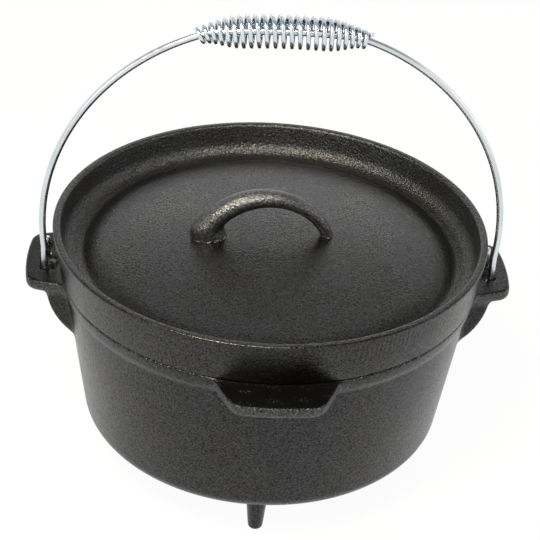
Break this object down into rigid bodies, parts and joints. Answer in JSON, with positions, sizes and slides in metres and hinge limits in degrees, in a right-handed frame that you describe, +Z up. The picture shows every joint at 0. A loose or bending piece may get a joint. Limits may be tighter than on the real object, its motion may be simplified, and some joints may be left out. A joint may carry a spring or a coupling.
{
  "type": "camp dutch oven",
  "caption": "Cast iron camp dutch oven on short legs, with a flanged coal-tray lid, a loop lid handle, side ears and lifting tabs, and a swinging wire bail with a coil-spring grip.",
  "frame": {"origin": "on the ground under the middle of the pot, where the legs stand", "axes": "+Z up, +X towards the ear on the right, -Y towards the front lifting tab"},
  "size_m": [0.304, 0.304, 0.3101],
  "materials": {
    "pot_iron": "sand-cast, seasoned satin",
    "lid_iron": "sand-cast, seasoned satin",
    "handle_iron": "sand-cast, seasoned satin",
    "bail_wire": "bright zinc-plated drawn wire",
    "spring_wire": "bright zinc-plated spring wire"
  },
  "bodies": {
    "pot": {"pot": "pot_iron"},
    "lid": {"lid": "lid_iron", "lid_handle": "handle_iron"},
    "bail": {"bail": "bail_wire", "grip_spring": "spring_wire"}
  },
  "joints": [
    {"name": "lid_lift", "type": "slide", "parent": "pot", "child": "lid", "axis": [0, 0, 1], "range_m": [0, 0.025]},
    {"name": "bail_swing", "type": "hinge", "parent": "pot", "child": "bail", "pos_m": [0, 0, 0.1326], "axis": [-1, 0, 0], "range_deg": [0, 95]}
  ]
}
